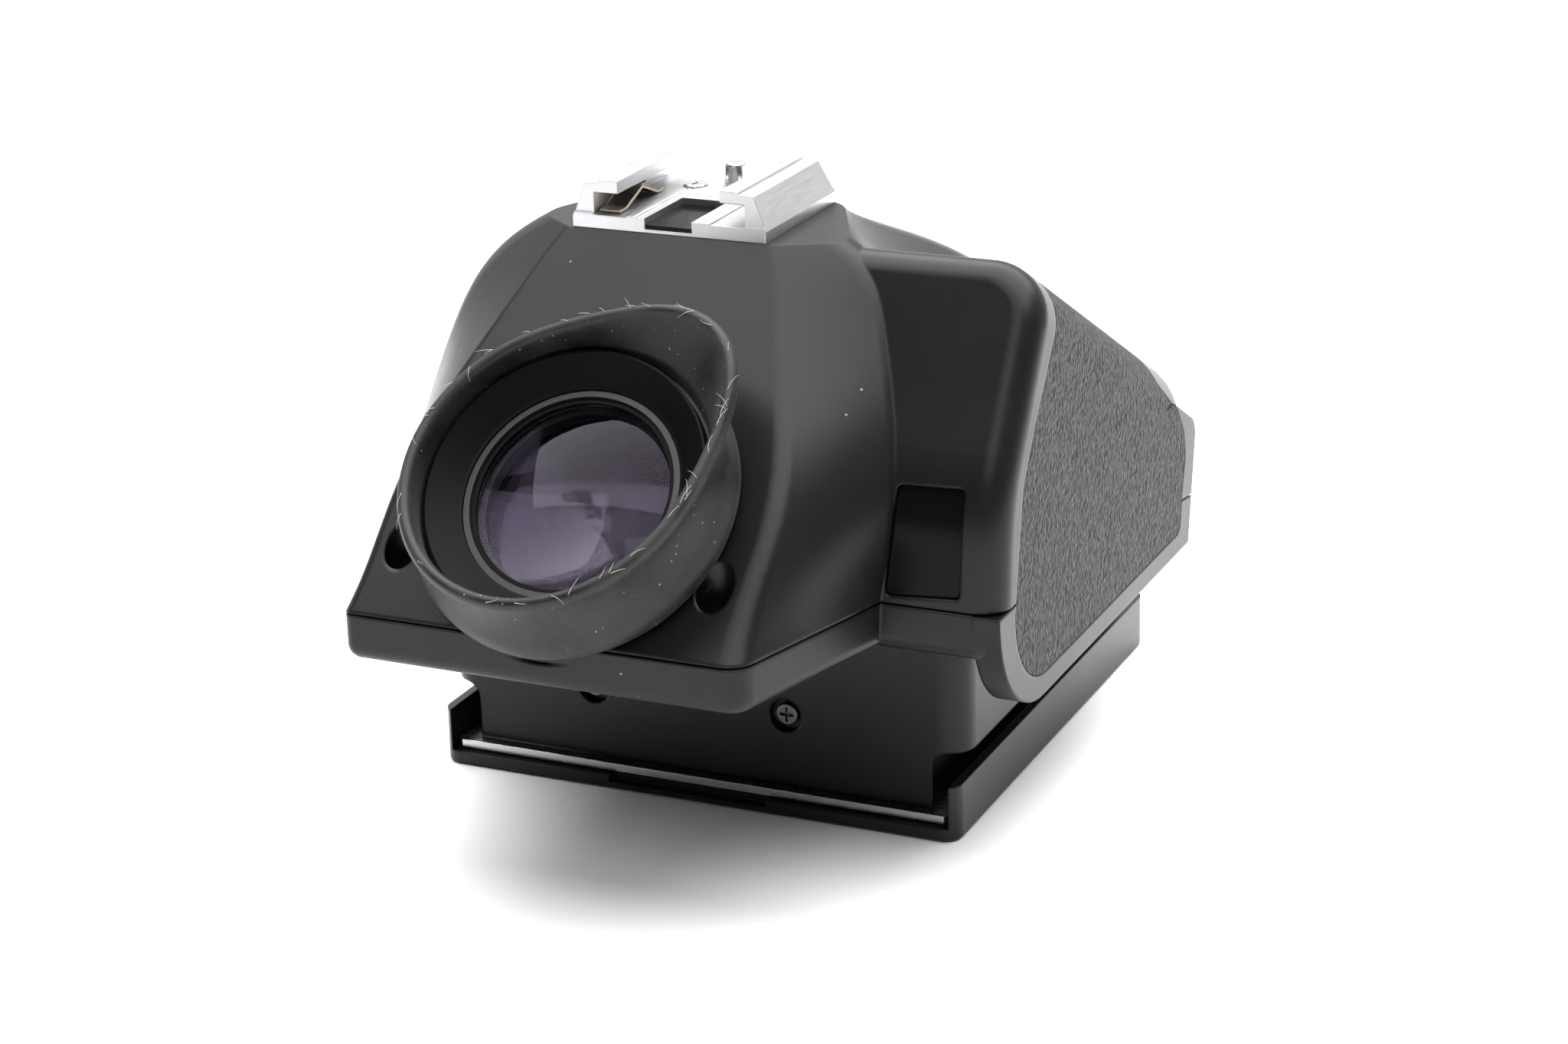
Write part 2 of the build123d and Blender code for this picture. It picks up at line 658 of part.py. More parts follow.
with BuildPart() as lens_spacer:
    add(ring([(LENS_RADIUS, -2.65), (LENS_RADIUS, 0.0), (10.6, 0.0), (10.6, -2.65)]))
export(lens_spacer.part, "lens_spacer")


def lip_outline(plane, radius, corner):
    """A round outline drawn out to one corner, on a plane square to the eyepiece."""
    bearings = [radians(15 * step + 6) for step in range(24)]
    reaches = [radius + corner * ((1 + cos(b - EYECUP_BEARING)) / 2) ** 12 for b in bearings]
    with BuildSketch(plane) as outline:
        with BuildLine():
            Spline([(r * cos(b), r * sin(b)) for r, b in zip(reaches, bearings)], periodic=True)
        make_face()
    return outline.sketch


def eyecup_wall(start, thickness, overshoot):
    """The eyecup's outer shape above its collar, moved in by its wall thickness."""
    rim = EYE_PLANE.offset(EYECUP_HEIGHT + overshoot).rotated(EYECUP_TILT)
    return [
        lip_outline(EYE_PLANE.offset(start), EYECUP_BASE - 0.1 - thickness, 0.0),
        lip_outline(rim, EYECUP_RIM - thickness, EYECUP_CORNER),
    ]


with BuildPart() as eyecup:
    with BuildSketch(EYE_PLANE.offset(0.4)):
        Circle(EYECUP_BASE)
    extrude(amount=3.1)
    loft(eyecup_wall(3.0, 0, 0))
    with BuildSketch(EYE_PLANE.offset(0.3)):
        Circle(BARREL_RADIUS + 0.05)
    extrude(amount=3.3, mode=Mode.SUBTRACT)
    loft(eyecup_wall(3.3, 1.3, 0.3), mode=Mode.SUBTRACT)
    with BuildSketch(EYE_PLANE.offset(3.4)):
        Circle(RIM_RADIUS + 0.25)
    extrude(amount=2.4, mode=Mode.SUBTRACT)
export(eyecup.part, "eyecup")

# Prism and what carries it
ridge_drop = (1.0, -RIDGE_SLOPE)
exit_top = PRISM_EXIT_REAR + (PRISM_TOP - PRISM_BASE) * FACE_SLOPE
ridge_start = (RIDGE_AT_ZERO - PRISM_TOP) / RIDGE_SLOPE

with BuildPart() as prism:
    add(
        side_prism(
            [
                (PRISM_EXIT_REAR, PRISM_BASE),
                (PRISM_FRONT, PRISM_BASE),
                (PRISM_FRONT, RIDGE_AT_ZERO - RIDGE_SLOPE * PRISM_FRONT),
                (ridge_start, PRISM_TOP),
                (exit_top, PRISM_TOP),
            ],
            -PRISM_HALF,
            2 * PRISM_HALF,
        )
    )
    with BuildSketch(Plane.XY.offset(PRISM_BASE)):
        Polygon(
            (-22.0, PRISM_EXIT_REAR),
            (22.0, PRISM_EXIT_REAR),
            (PRISM_HALF, -40.0),
            (PRISM_HALF, PRISM_FRONT),
            (-PRISM_HALF, PRISM_FRONT),
            (-PRISM_HALF, -40.0),
            align=None,
        )
    extrude(amount=40, mode=Mode.INTERSECT)
    roof_plane = Plane(origin=(0, 0, RIDGE_AT_ZERO), x_dir=(1, 0, 0), z_dir=(0, *ridge_drop))
    with BuildSketch(roof_plane):
        Polygon((0, 0), (60, 60), (-60, 60), align=None)
    extrude(amount=90, both=True, mode=Mode.INTERSECT)
export(prism.part, "prism")

with BuildPart() as prism_frame:
    with BuildSketch(Plane.XY.offset(FRAME_BOTTOM)):
        Polygon((-24.4, -53), (24.4, -53), (26.7, -45), (26.7, 17), (-26.7, 17), (-26.7, -45), align=None)
        with Locations((0, -6)):
            Rectangle(48, 38, mode=Mode.SUBTRACT)
        with Locations(FRAME_SCREWS):
            Circle(0.85, mode=Mode.SUBTRACT)
    extrude(amount=FRAME_TOP - FRAME_BOTTOM)
    with BuildSketch(Plane.XY.offset(FRAME_TOP)):
        with Locations(FRAME_SCREWS):
            Circle(1.5)
    extrude(amount=-0.65, mode=Mode.SUBTRACT)
export(prism_frame.part, "prism_frame")

with BuildPart() as frame_screws:
    frame_screw = cross_head(HEAD_RADIUS, FRAME_TOP - 0.65, FRAME_TOP, SHANK_RADIUS, FRAME_TOP - 2.2)
    for spot in FRAME_SCREWS:
        add(Pos(spot[0], spot[1], 0) * frame_screw)
export(frame_screws.part, "frame_screws")

with BuildPart() as prism_pads:
    with BuildSketch(Plane.XY.offset(FRAME_TOP)):
        with Locations((-25.4, 8), (25.4, 8), (-18, -49), (18, -49)):
            Rectangle(2.4, 5)
    extrude(amount=PRISM_BASE - FRAME_TOP)
export(prism_pads.part, "prism_pads")


def strap_line(clearance):
    """Outline of the prism across its roof at the strap, grown by a clearance."""
    side = PRISM_HALF + clearance
    ridge = RIDGE_AT_ZERO - RIDGE_SLOPE * STRAP_Y + clearance * 1.6
    top = PRISM_TOP + clearance
    return [
        (-side, FRAME_BOTTOM),
        (-side, ridge - side),
        (top - ridge, top),
        (ridge - top, top),
        (side, ridge - side),
        (side, FRAME_BOTTOM),
    ]


with BuildPart() as prism_strap:
    with BuildSketch(Plane.XZ.offset(-STRAP_Y - 3)):
        with BuildLine():
            Polyline(strap_line(1.3), close=True)
        make_face()
        with Locations((0, FRAME_BOTTOM + 0.4)):
            Rectangle(2 * (STRAP_FOOT + 1.4), 0.8)
        with BuildLine():
            Polyline(strap_line(0.6), close=True)
        make_face(mode=Mode.SUBTRACT)
    extrude(amount=6)
    with Locations((-STRAP_FOOT, STRAP_Y), (STRAP_FOOT, STRAP_Y)):
        Cylinder(0.85, 200, mode=Mode.SUBTRACT)
export(prism_strap.part, "prism_strap")

with BuildPart() as strap_screws:
    strap_screw = cross_head(1.2, FRAME_BOTTOM + 0.8, FRAME_BOTTOM + 1.6, SHANK_RADIUS, FRAME_BOTTOM - 3.2)
    for side in (1, -1):
        add(Pos(side * STRAP_FOOT, STRAP_Y, 0) * strap_screw)
export(strap_screws.part, "strap_screws")

with BuildPart() as strap_pad:
    add(block((-1.6, 1.6), (STRAP_Y - 2.5, STRAP_Y + 2.5), (PRISM_TOP, PRISM_TOP + 0.6)))
export(strap_pad.part, "strap_pad")

with BuildPart() as light_baffle:
    with BuildSketch(Plane.XY.offset(5.4)):
        with Locations((0, -0.5)):
            RectangleRounded(54.6, 54.6, 1.5)
            RectangleRounded(53.4, 53.4, 0.9, mode=Mode.SUBTRACT)
    extrude(amount=17.4)
export(light_baffle.part, "light_baffle")

with BuildPart() as bottom_window:
    add(block((-27.3, 27.3), (-27.8, 26.8), (3.3, 5.3)))
export(bottom_window.part, "bottom_window")

with BuildPart() as window_gasket:
    add(block((-27.3, 27.3), (-27.8, 26.8), (PLATE_TOP, 3.3)) - block((-25.7, 25.7), (-26.2, 25.2), (2, 4)))
export(window_gasket.part, "window_gasket")

# Slide-on base cover
COVER_INSIDE = 32.35
COVER_FRONT_STOP = 33.1

with BuildPart() as base_cover:
    with BuildSketch(Plane.XY) as cover_plan:
        RectangleRounded(2 * COVER_HALF_WIDTH, 2 * COVER_HALF_LENGTH, 2.2)
    extrude(amount=COVER_HEIGHT, taper=COVER_DRAFT)
    chamfer(base_cover.faces().sort_by(Axis.Z)[0].edges(), 0.4)
    add(block((-COVER_INSIDE, COVER_INSIDE), (-40, COVER_FRONT_STOP), (COVER_FLOOR, 20)), mode=Mode.SUBTRACT)
    add(block((-31, 31), (COVER_FRONT_STOP - 1, 40), (4.4, 20)), mode=Mode.SUBTRACT)
    add(block((-11.0, 9.5), (-40, -COVER_HALF_LENGTH + 1.3), (0.9, 20)), mode=Mode.SUBTRACT)
    for side in (1, -1):
        low, high = sorted((side * (COVER_INSIDE + 0.1), side * 30.3))
        add(block((low, high), (-24, 30), (3.1, 3.9)))
export(base_cover.part, "base_cover")
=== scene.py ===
"""Looks of the prism viewfinder: camera, light, materials and the soft and fine pieces."""

import json
import math
import random

import bmesh
import bpy
from mathutils import Matrix, Vector


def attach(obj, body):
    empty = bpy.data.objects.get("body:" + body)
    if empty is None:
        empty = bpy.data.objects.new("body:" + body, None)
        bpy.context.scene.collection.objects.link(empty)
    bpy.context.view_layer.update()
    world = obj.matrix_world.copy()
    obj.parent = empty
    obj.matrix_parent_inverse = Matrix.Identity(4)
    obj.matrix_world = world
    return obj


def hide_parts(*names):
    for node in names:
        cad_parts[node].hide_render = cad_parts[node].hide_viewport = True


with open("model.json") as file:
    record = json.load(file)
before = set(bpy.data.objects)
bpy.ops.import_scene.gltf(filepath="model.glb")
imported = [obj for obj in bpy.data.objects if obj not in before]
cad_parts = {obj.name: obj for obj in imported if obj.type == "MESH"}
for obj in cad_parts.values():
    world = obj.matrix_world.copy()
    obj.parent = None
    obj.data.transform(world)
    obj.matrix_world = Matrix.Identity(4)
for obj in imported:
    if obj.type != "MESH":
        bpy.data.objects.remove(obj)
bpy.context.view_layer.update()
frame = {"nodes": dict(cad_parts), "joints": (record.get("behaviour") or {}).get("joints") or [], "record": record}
nodes = frame["nodes"]
MM = 0.001

# Camera, in mm of the row frame
CAMERA_AT = Vector((163.9, -368.1, 167.6))
CAMERA_TARGET = Vector((-2.67, 0.0, 23.47))
CAMERA_ROLL = math.radians(-1.33)
CAMERA_LENS = 78.96

# Eyecup, in mm; bearings in degrees about the eyepiece axis, 0 at the user's right
CUP_BORE = 17.05
CUP_INSIDE = 16.45
CUP_RIM = 17.35
CUP_TOP = 8.3
CORNER_BEARING = 51
CORNER_REACH = 5.3
CUP_STEPS = 96
CUP_RIM_POINT = 11

# Lint fibres, in mm
FIBRE_COUNT = 44
FIBRE_STEPS = 6
FIBRE_HALF_WIDTH = 0.028

# Studio, in m
FLOOR_HALF = 3.0
BRIGHT_SIDE = (0.05, 0.78, 0.62)
OBJECT_MIDDLE = (0.0, -0.01, 0.03)

# Eyepiece axis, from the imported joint
eye_joint = next(j for j in frame["joints"] if j["name"] == "eyecup_turn")
EYE = Vector(eye_joint["pos_m"])
OUT = Vector(eye_joint["axis"]).normalized()
RIGHT = Vector((1, 0, 0))
UP = OUT.cross(RIGHT).normalized()


# ---------------------------------------------------------------- camera, floor and light
def add_camera():
    """A long lens behind the eyepiece, from the right and a little above."""
    place = CAMERA_AT * MM
    target = CAMERA_TARGET * MM
    data = bpy.data.cameras.new("view")
    data.lens = CAMERA_LENS
    data.sensor_width = 36.0
    data.clip_start = 0.01
    camera = bpy.data.objects.new("view", data)
    bpy.context.scene.collection.objects.link(camera)
    turn = (target - place).to_track_quat("-Z", "Y").to_matrix().to_4x4()
    roll = Matrix.Rotation(CAMERA_ROLL, 4, "Z")
    camera.matrix_world = Matrix.Translation(place) @ turn @ roll
    bpy.context.scene.camera = camera


def add_light(name, place, target, size, power):
    """A soft rectangular light aimed at a point."""
    data = bpy.data.lights.new(name, "AREA")
    data.shape = "RECTANGLE"
    data.size, data.size_y = size
    data.energy = power
    lamp = bpy.data.objects.new(name, data)
    bpy.context.scene.collection.objects.link(lamp)
    place = Vector(place)
    turn = (Vector(target) - place).to_track_quat("-Z", "Y").to_matrix().to_4x4()
    lamp.matrix_world = Matrix.Translation(place) @ turn


def new_material(name):
    """An empty node material and its shader."""
    material = bpy.data.materials.new(name)
    material.use_nodes = True
    tree = material.node_tree
    shader = tree.nodes["Principled BSDF"]
    return material, tree, shader


def set_in(made, **values):
    """Set inputs whose names have spaces, written with underscores."""
    for key, value in values.items():
        made.inputs[key.replace("_", " ")].default_value = value
    return made


add_camera()


# ---------------------------------------------------------------- materials
def object_coords(tree, scale=(1, 1, 1)):
    """Row-frame coordinates, stretched."""
    coords = tree.nodes.new("ShaderNodeTexCoord")
    mapping = tree.nodes.new("ShaderNodeMapping")
    mapping.inputs["Scale"].default_value = scale
    tree.links.new(coords.outputs["Object"], mapping.inputs["Vector"])
    return mapping.outputs["Vector"]


def noise(tree, vector, scale, detail=2.0, rough=0.5):
    """Cloudy pattern, 0 to 1."""
    made = tree.nodes.new("ShaderNodeTexNoise")
    set_in(made, Scale=scale, Detail=detail, Roughness=rough)
    tree.links.new(vector, made.inputs["Vector"])
    return made.outputs["Fac"]


def voronoi(tree, vector, scale, feature="F1"):
    """Distance to the nearest of many scattered points."""
    made = tree.nodes.new("ShaderNodeTexVoronoi")
    made.feature = feature
    set_in(made, Scale=scale)
    tree.links.new(vector, made.inputs["Vector"])
    return made.outputs["Distance"]


def ramp(tree, value, low, high, out_low=0.0, out_high=1.0):
    """One range mapped to another, clamped."""
    made = tree.nodes.new("ShaderNodeMapRange")
    set_in(made, From_Min=low, From_Max=high, To_Min=out_low, To_Max=out_high)
    tree.links.new(value, made.inputs["Value"])
    return made.outputs["Result"]


def maths(tree, operation, a, b):
    """Arithmetic on two sockets or numbers."""
    made = tree.nodes.new("ShaderNodeMath")
    made.operation = operation
    for socket, value in zip(made.inputs, (a, b)):
        if isinstance(value, (int, float)):
            socket.default_value = value
        else:
            tree.links.new(value, socket)
    return made.outputs[0]


# Colour sockets of the Mix node share their names with its float sockets
def mix_rgb(tree, factor, first, second):
    """Blend of two colours or colour sockets."""
    made = tree.nodes.new("ShaderNodeMix")
    made.data_type = "RGBA"
    tree.links.new(factor, made.inputs[0])
    for socket, value in ((made.inputs[6], first), (made.inputs[7], second)):
        if isinstance(value, tuple):
            socket.default_value = (*value, 1.0)
        else:
            tree.links.new(value, socket)
    return made.outputs[2]


def bump(tree, shader, height, distance, strength=1.0, below=None):
    """Surface relief from a height, over an earlier normal if given."""
    made = tree.nodes.new("ShaderNodeBump")
    set_in(made, Distance=distance, Strength=strength)
    tree.links.new(height, made.inputs["Height"])
    if below is not None:
        tree.links.new(below, made.inputs["Normal"])
    tree.links.new(made.outputs["Normal"], shader.inputs["Normal"])


def bevelled(tree, radius):
    """Normal that rounds sharp edges off when shaded."""
    made = tree.nodes.new("ShaderNodeBevel")
    made.samples = 6
    made.inputs["Radius"].default_value = radius
    return made.outputs["Normal"]


def scaled(colour, factor):
    """A colour made lighter or darker."""
    return tuple(c * factor for c in colour)


def painted(name, colour, rough, grain=0.000012, speck=0.0, round_edges=0.0, gloss=0.5):
    """Fine satin paint: slightly uneven gloss, a very fine tooth, stray dust and soft edges."""
    material, tree, shader = new_material(name)
    vector = object_coords(tree)
    broad = noise(tree, vector, 60.0, 3.0)
    fine = noise(tree, vector, 5200.0, 2.0)
    tone = mix_rgb(tree, ramp(tree, broad, 0.35, 0.65), scaled(colour, 0.9), scaled(colour, 1.1))
    if speck:
        dots = voronoi(tree, vector, 320.0)
        keep = ramp(tree, noise(tree, vector, 140.0, 1.0), 0.62, 0.66)
        dust = maths(tree, "MULTIPLY", ramp(tree, dots, 0.055, 0.03), keep)
        tone = mix_rgb(tree, maths(tree, "MULTIPLY", dust, speck), tone, (0.4, 0.4, 0.39))
    tree.links.new(tone, shader.inputs["Base Color"])
    rough_value = ramp(tree, broad, 0.3, 0.7, rough - 0.03, rough + 0.03)
    tree.links.new(rough_value, shader.inputs["Roughness"])
    shader.inputs["Specular IOR Level"].default_value = gloss
    below = bevelled(tree, round_edges) if round_edges else None
    bump(tree, shader, fine, grain, 0.6, below)
    return material


def metal(name, colour, rough, brush=None, grain=0.000004):
    """Bare metal, with brushing along one axis if asked."""
    material, tree, shader = new_material(name)
    shader.inputs["Metallic"].default_value = 1.0
    vector = object_coords(tree, brush or (1, 1, 1))
    streaks = noise(tree, vector, 2600.0, 3.0)
    tone = mix_rgb(tree, ramp(tree, streaks, 0.3, 0.7), scaled(colour, 0.93), colour)
    tree.links.new(tone, shader.inputs["Base Color"])
    rough_value = ramp(tree, streaks, 0.3, 0.7, rough * 0.85, rough * 1.15)
    tree.links.new(rough_value, shader.inputs["Roughness"])
    bump(tree, shader, streaks, grain, 0.5, bevelled(tree, 0.00018))
    return material


def leatherette():
    """Pressed leather-grain covering: small upright pebbles, with painted shade darkening the creases between
    them.
    """
    material, tree, shader = new_material("leather_grain")
    wobble = noise(tree, object_coords(tree), 700.0, 2.0)
    vector = object_coords(tree, (1.0, 1.15, 0.85))
    add = tree.nodes.new("ShaderNodeVectorMath")
    add.operation = "MULTIPLY_ADD"
    tree.links.new(wobble, add.inputs[0])
    add.inputs[1].default_value = (0.0007, 0.0007, 0.0007)
    tree.links.new(vector, add.inputs[2])
    warped = add.outputs["Vector"]
    cells = voronoi(tree, warped, 2000.0, "SMOOTH_F1")
    small = noise(tree, warped, 2600.0, 2.0)
    pebbles = maths(tree, "MULTIPLY", cells, -0.9)
    height = maths(tree, "ADD", pebbles, maths(tree, "MULTIPLY", small, 0.35))
    # Painted shade: the base colour darkens towards the low creases of the grain, following the bump height
    shaded_crease, crown = (0.002, 0.002, 0.0021), (0.026, 0.026, 0.027)
    tone = mix_rgb(tree, ramp(tree, height, -0.4, 0.05), shaded_crease, crown)
    tree.links.new(tone, shader.inputs["Base Color"])
    tree.links.new(ramp(tree, height, -0.5, 0.1, 0.62, 0.46), shader.inputs["Roughness"])
    shader.inputs["Specular IOR Level"].default_value = 0.17
    bump(tree, shader, height, 0.0003, 1.0)
    return material


def rubber():
    """Old soft rubber: dull black, cloudy, with dust specks."""
    material, tree, shader = new_material("eyecup_rubber")
    vector = object_coords(tree)
    cloud = noise(tree, vector, 160.0, 4.0, 0.6)
    clean, dusty = (0.004, 0.004, 0.0041), (0.022, 0.022, 0.0223)
    tone = mix_rgb(tree, ramp(tree, cloud, 0.35, 0.7), clean, dusty)
    dots = voronoi(tree, vector, 1100.0)
    keep = ramp(tree, noise(tree, vector, 420.0, 2.0), 0.5, 0.56)
    dust = maths(tree, "MULTIPLY", ramp(tree, dots, 0.12, 0.05), keep)
    tone = mix_rgb(tree, maths(tree, "MULTIPLY", dust, 0.8), tone, (0.42, 0.42, 0.41))
    tree.links.new(tone, shader.inputs["Base Color"])
    tree.links.new(ramp(tree, cloud, 0.3, 0.7, 0.4, 0.6), shader.inputs["Roughness"])
    shader.inputs["Specular IOR Level"].default_value = 0.3
    shader.inputs["Sheen Weight"].default_value = 0.05
    shader.inputs["Sheen Roughness"].default_value = 0.4
    bump(tree, shader, noise(tree, vector, 2600.0, 3.0), 0.00003, 0.7)
    return material


def glass(name, tint, dust=0.0, coating=(1.0, 1.0, 1.0)):
    """Clear glass: its tint, a little dust, and a coating that scales its reflections."""
    material, tree, shader = new_material(name)
    shader.inputs["Transmission Weight"].default_value = 1.0
    shader.inputs["IOR"].default_value = 1.52
    shader.inputs["Specular Tint"].default_value = (*coating, 1.0)
    vector = object_coords(tree)
    specks = maths(tree, "MULTIPLY", ramp(tree, voronoi(tree, vector, 500.0), 0.06, 0.02), dust)
    smear = ramp(tree, noise(tree, vector, 90.0, 3.0), 0.45, 0.75, 0.0, dust * 0.12)
    cover = maths(tree, "ADD", specks, smear)
    tree.links.new(mix_rgb(tree, cover, tint, (0.8, 0.8, 0.8)), shader.inputs["Base Color"])
    tree.links.new(ramp(tree, cover, 0.0, 1.0, 0.0, 0.6), shader.inputs["Roughness"])
    return material


# One material for each slot of the record, and one for the lint
MATERIALS = {
    "body_paint": painted(
        "body_paint_satin", (0.0045, 0.0045, 0.0047), 0.34, speck=0.6, round_edges=0.0005, gloss=0.21
    ),
    "cover_gloss": painted(
        "cover_black", (0.008, 0.008, 0.0085), 0.3, grain=0.000006, speck=0.3, round_edges=0.0003, gloss=0.26
    ),
    "panel_gloss": painted(
        "panel_black", (0.003, 0.003, 0.0032), 0.16, grain=0.000002, round_edges=0.0001, gloss=0.06
    ),
    "inner_black": painted("inner_black_matt", (0.01, 0.01, 0.01), 0.55, grain=0.00002),
    "ring_black": painted(
        "ring_black_matt", (0.0025, 0.0025, 0.0026), 0.5, grain=0.00001, round_edges=0.0001, gloss=0.07
    ),
    "soft_pad": painted("pad_black", (0.015, 0.015, 0.015), 0.7, grain=0.00003),
    "leather": leatherette(),
    "rubber": rubber(),
    "lint": painted("lint_fibre", (0.34, 0.34, 0.335), 0.8, grain=0.000005),
    "shoe_alloy": metal("shoe_satin_alloy", (0.5, 0.5, 0.515), 0.38, (1.0, 0.12, 1.0)),
    "bright_steel": metal("bright_nickel", (0.72, 0.7, 0.67), 0.2),
    "spring_metal": metal("spring_bronze", (0.42, 0.36, 0.28), 0.3, (1.0, 0.2, 1.0)),
    "dark_steel": metal("black_steel", (0.1, 0.1, 0.105), 0.38),
    "plate_steel": metal("plate_bright_steel", (0.5, 0.49, 0.48), 0.25, (0.1, 1.0, 1.0)),
    "prism_glass": glass("prism_glass", (0.9, 0.91, 0.92), coating=(0.25, 0.25, 0.28)),
    "window_glass": glass("window_glass", (0.97, 0.98, 0.98)),
    "lens_glass": glass("lens_coated", (0.82, 0.79, 0.86), dust=0.06, coating=(0.16, 0.14, 0.19)),
}
slot_of = {part["node"]: part["material_slot"] for part in frame["record"]["subparts"]}


def dress(obj, material):
    """Give every face of a piece one material."""
    obj.data.materials.clear()
    obj.data.materials.append(material)


for name, cad_node in nodes.items():
    dress(cad_node, MATERIALS[slot_of[name]])
    for polygon in cad_node.data.polygons:
        polygon.material_index = 0


# ---------------------------------------------------------------- eyecup
def mesh_object(name, vertices, faces):
    """A smooth mesh object from vertex and face lists, with outward normals."""
    mesh = bpy.data.meshes.new(name)
    mesh.from_pydata(vertices, [], faces)
    work = bmesh.new()
    work.from_mesh(mesh)
    bmesh.ops.recalc_face_normals(work, faces=work.faces)
    work.to_mesh(mesh)
    work.free()
    for polygon in mesh.polygons:
        polygon.use_smooth = True
    made = bpy.data.objects.new(name, mesh)
    bpy.context.scene.collection.objects.link(made)
    return made


def around_eye(radius, angle, distance):
    """A point at a radius and angle about the eyepiece axis, angle 0 at the user's right."""
    spoke = RIGHT * math.cos(angle) + UP * math.sin(angle)
    return EYE + (spoke * radius + OUT * distance) * MM


def bump_at(angle, degrees, power):
    """1 at one bearing about the eyepiece, falling away on both sides."""
    return ((1 + math.cos(angle - math.radians(degrees))) / 2) ** power


def cup_profile(angle):
    """Radius and distance of the eyecup's section at one angle, from the base outwards."""
    corner = bump_at(angle, CORNER_BEARING, 12)
    rim = CUP_RIM + 0.9 * bump_at(angle, 90, 1) + CORNER_REACH * corner
    top = CUP_TOP + 3.4 * bump_at(angle, -50, 1) + 0.6 * corner
    waist = 0.55 * rim + 0.45 * 17.3 - 0.75
    inner = 0.5 * rim + 0.5 * 16.8 - 1.0
    return [
        (CUP_BORE, 3.4),
        (CUP_BORE, 0.45),
        (18.1, 0.4),
        (18.6, 0.8),
        (18.75, 2.1),
        (18.3, 3.3),
        (17.65 + 0.3 * corner, 4.2),
        (waist, 0.5 * top + 1.2),
        (rim - 0.95, top - 2.4),
        (rim - 0.15, top - 1.7),
        (rim + 0.1, top - 0.85),
        (rim - 0.35, top - 0.05),
        (rim - 1.15, top),
        (rim - 1.7, top - 0.7),
        (inner, 0.5 * top + 1.7),
        (16.75, 4.5),
        (CUP_INSIDE, 4.0),
        (CUP_INSIDE, 3.6),
        (16.8, 3.5),
    ]


def lathe(name, profile, steps):
    """A closed section carried round the eyepiece axis."""
    vertices, faces = [], []
    count = len(profile(0.0))
    for step in range(steps):
        angle = 2 * math.pi * step / steps
        vertices += [around_eye(r, angle, s) for r, s in profile(angle)]
    for step in range(steps):
        for k in range(count):
            a = step * count + k
            b = step * count + (k + 1) % count
            c = ((step + 1) % steps) * count + (k + 1) % count
            d = ((step + 1) % steps) * count + k
            faces.append((a, b, c, d))
    return mesh_object(name, vertices, faces)


cup = lathe("eyecup_soft", cup_profile, CUP_STEPS)
smoother = cup.modifiers.new("smooth", "SUBSURF")
smoother.levels = smoother.render_levels = 2
dress(cup, MATERIALS["rubber"])
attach(cup, "eyecup")
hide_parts("eyecup")


def fibre(start, heading, length, curl):
    """One curved lint fibre: a thin square tube, as vertices and faces."""
    side = heading.cross(OUT).normalized()
    lift = side.cross(heading).normalized()
    vertices = []
    for step in range(FIBRE_STEPS + 1):
        along = step / FIBRE_STEPS
        bend = curl * along * along * length
        wave = lift * 0.12 * math.sin(3 * along)
        centre = start + (heading * along * length + side * bend + wave) * MM
        width = FIBRE_HALF_WIDTH * MM * (1.0 - 0.6 * along)
        corners = ((1, 1), (-1, 1), (-1, -1), (1, -1))
        vertices += [centre + (side * a + lift * b) * width for a, b in corners]
    last = 4 * FIBRE_STEPS
    faces = [(0, 1, 2, 3), (last + 3, last + 2, last + 1, last)]
    for step in range(FIBRE_STEPS):
        for k in range(4):
            a, b = step * 4 + k, step * 4 + (k + 1) % 4
            faces.append((a, b, b + 4, a + 4))
    return vertices, faces


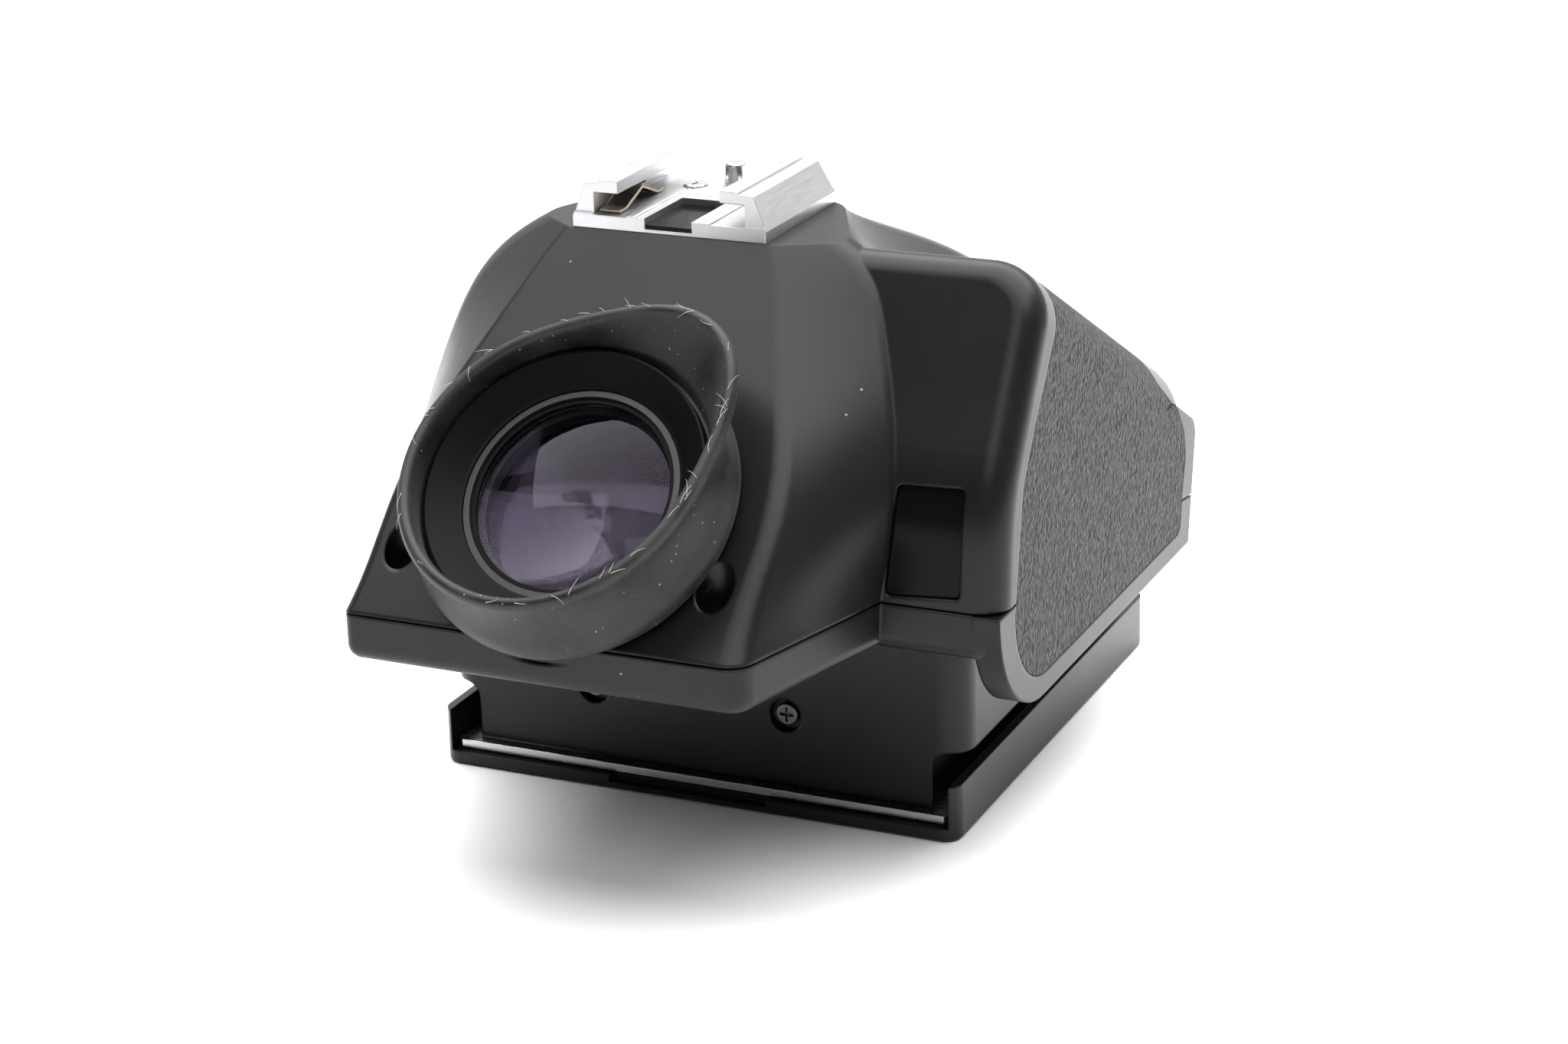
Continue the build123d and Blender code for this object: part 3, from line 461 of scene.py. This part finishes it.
def lint(name, count):
    """Fibres caught on the eyecup's rim."""
    chance = random.Random(7)
    vertices, faces = [], []
    for _ in range(count):
        angle = chance.uniform(0, 2 * math.pi)
        radius, distance = cup_profile(angle)[CUP_RIM_POINT]
        start = around_eye(radius - chance.uniform(0, 0.6), angle, distance + 0.02)
        sweep = chance.uniform(-1.2, 1.2)
        tangent = UP * math.cos(angle) - RIGHT * math.sin(angle)
        spoke = RIGHT * math.cos(angle) + UP * math.sin(angle)
        heading = (tangent * math.cos(sweep) + spoke * math.sin(sweep) * 0.5).normalized()
        more_v, more_f = fibre(start, heading, chance.uniform(0.8, 2.2), chance.uniform(-0.5, 0.5))
        faces += [tuple(i + len(vertices) for i in face) for face in more_f]
        vertices += more_v
    return mesh_object(name, vertices, faces)


fluff = lint("eyecup_lint", FIBRE_COUNT)
dress(fluff, MATERIALS["lint"])
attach(fluff, "eyecup")


# ---------------------------------------------------------------- floor and studio
def make_floor():
    """A plain, pale paper floor."""
    h = FLOOR_HALF
    mesh = bpy.data.meshes.new("floor")
    mesh.from_pydata([(-h, -h, 0), (h, -h, 0), (h, h, 0), (-h, h, 0)], [], [(0, 1, 2, 3)])
    made = bpy.data.objects.new("floor", mesh)
    bpy.context.scene.collection.objects.link(made)
    paper, tree, shader = new_material("pale_paper")
    cloud = noise(tree, object_coords(tree), 3.0, 2.0)
    tone = mix_rgb(tree, cloud, (0.96, 0.96, 0.96), (0.98, 0.98, 0.98))
    tree.links.new(tone, shader.inputs["Base Color"])
    shader.inputs["Roughness"].default_value = 0.9
    shader.inputs["Specular IOR Level"].default_value = 0.1
    dress(made, paper)
    return made


floor = make_floor()


def studio_world():
    """A room that is dim low down on the camera's side and bright above and behind the object."""
    world = bpy.data.worlds.new("studio")
    bpy.context.scene.world = world
    world.use_nodes = True
    tree = world.node_tree
    coords = tree.nodes.new("ShaderNodeTexCoord")
    facing = tree.nodes.new("ShaderNodeVectorMath")
    facing.operation = "DOT_PRODUCT"
    tree.links.new(coords.outputs["Generated"], facing.inputs[0])
    facing.inputs[1].default_value = BRIGHT_SIDE
    level = ramp(tree, facing.outputs["Value"], -0.2, 0.85, 0.06, 1.1)
    background = tree.nodes["Background"]
    background.inputs["Color"].default_value = (1.0, 1.0, 1.0, 1.0)
    tree.links.new(level, background.inputs["Strength"])


studio_world()
bpy.context.scene.view_settings.view_transform = "Standard"

add_light("overhead", (0.0, 0.3, 0.95), (0.0, 0.3, 0.0), (1.5, 1.6), 42.0)
add_light("key", (0.16, -0.8, 0.8), (0.0, -0.3, 0.0), (0.5, 0.5), 2.6)
add_light("left", (-0.9, 0.3, 0.3), OBJECT_MIDDLE, (0.6, 0.5), 0.9)
